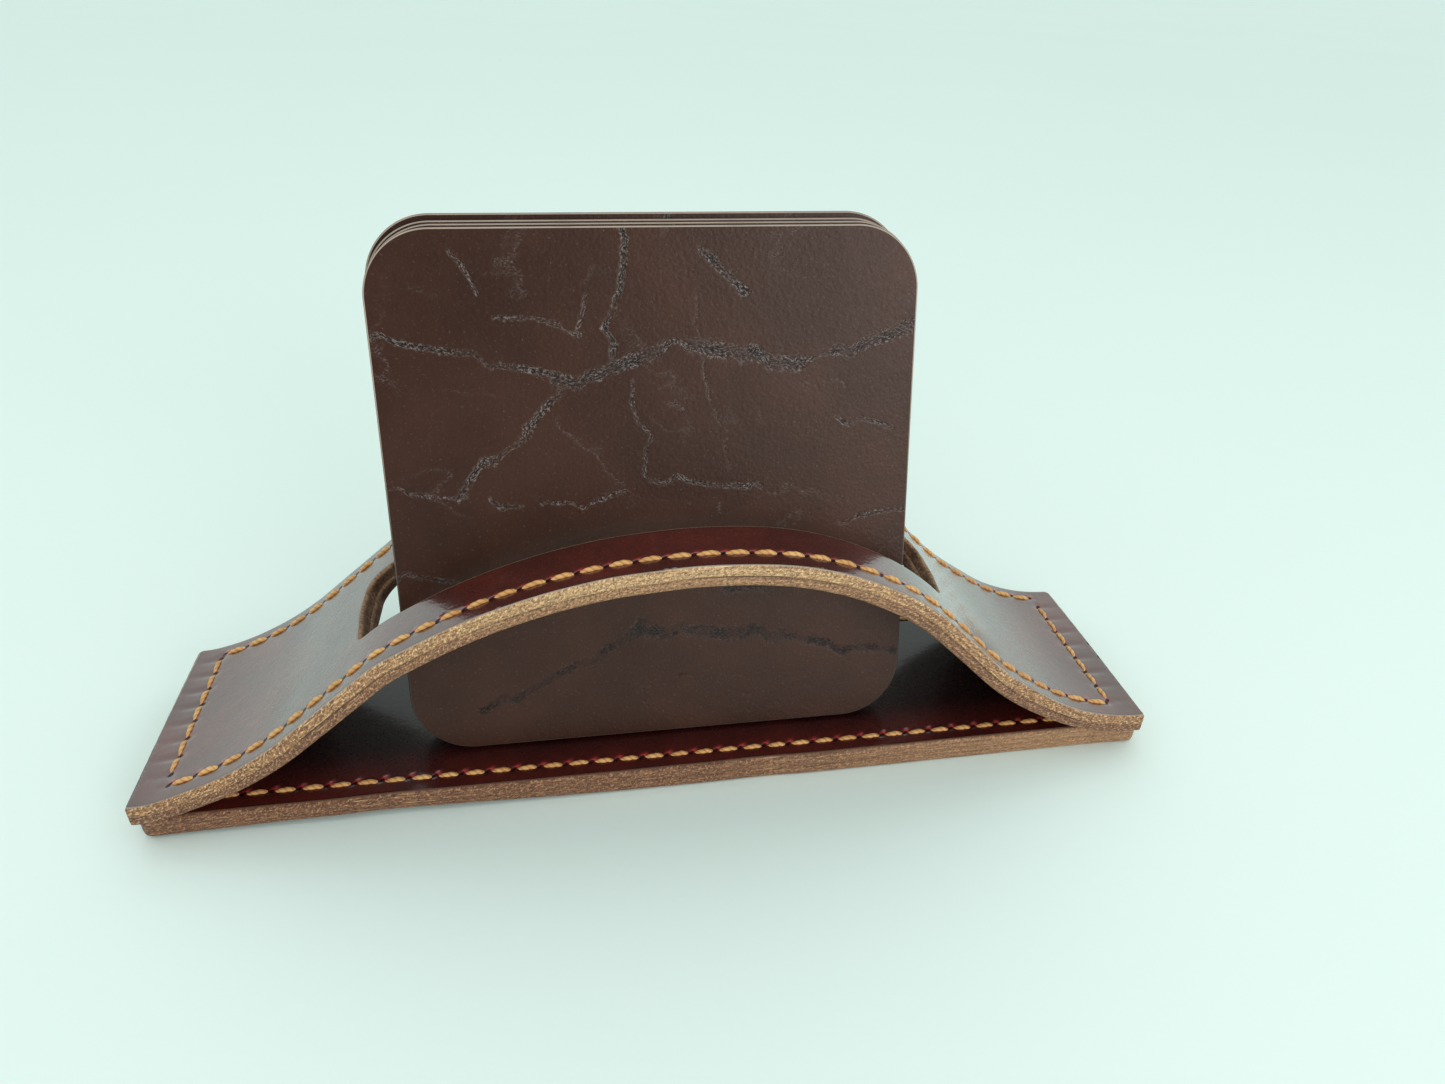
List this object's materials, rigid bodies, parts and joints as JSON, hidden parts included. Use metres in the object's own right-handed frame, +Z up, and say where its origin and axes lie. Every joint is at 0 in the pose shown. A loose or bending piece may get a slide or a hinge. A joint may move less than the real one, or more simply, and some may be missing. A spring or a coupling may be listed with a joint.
{
  "type": "coaster holder with coasters",
  "caption": "Arched leather holder on a flat stitched base, with a wide slot in which loose square leather coasters stand and lean back.",
  "frame": {"origin": "on the table, under the middle of the strap", "axes": "+X along the holder to the right, +Y to the back, +Z up; the front is -Y"},
  "size_m": [0.2013, 0.0477, 0.1037],
  "materials": {
    "grain_leather": "glossy burgundy pull-up leather, grain side",
    "backing_leather": "satin brown leather with burnished edges",
    "coaster_leather": "satin dark brown leather with growth wrinkles",
    "waxed_thread": "golden tan waxed thread"
  },
  "bodies": {
    "holder": {"base_top_leather": "grain_leather", "base_backing_leather": "backing_leather", "strap_outer_leather": "grain_leather", "strap_lining_leather": "backing_leather", "base_front_seam": "waxed_thread", "base_back_seam": "waxed_thread", "strap_front_seam": "waxed_thread", "strap_back_seam": "waxed_thread", "left_end_seam": "waxed_thread", "right_end_seam": "waxed_thread"},
    "coaster_1": {"coaster_1": "coaster_leather"},
    "coaster_2": {"coaster_2": "coaster_leather"},
    "coaster_3": {"coaster_3": "coaster_leather"},
    "coaster_4": {"coaster_4": "coaster_leather"}
  },
  "joints": [
    {"name": "coaster_1_lift", "type": "slide", "parent": "holder", "child": "coaster_1", "axis": [0, 0.2419, 0.9703], "range_m": [0, 0.065]},
    {"name": "coaster_2_lift", "type": "slide", "parent": "holder", "child": "coaster_2", "axis": [0, 0.2419, 0.9703], "range_m": [0, 0.065]},
    {"name": "coaster_3_lift", "type": "slide", "parent": "holder", "child": "coaster_3", "axis": [0, 0.2419, 0.9703], "range_m": [0, 0.065]},
    {"name": "coaster_4_lift", "type": "slide", "parent": "holder", "child": "coaster_4", "axis": [0, 0.2419, 0.9703], "range_m": [0, 0.065]}
  ]
}
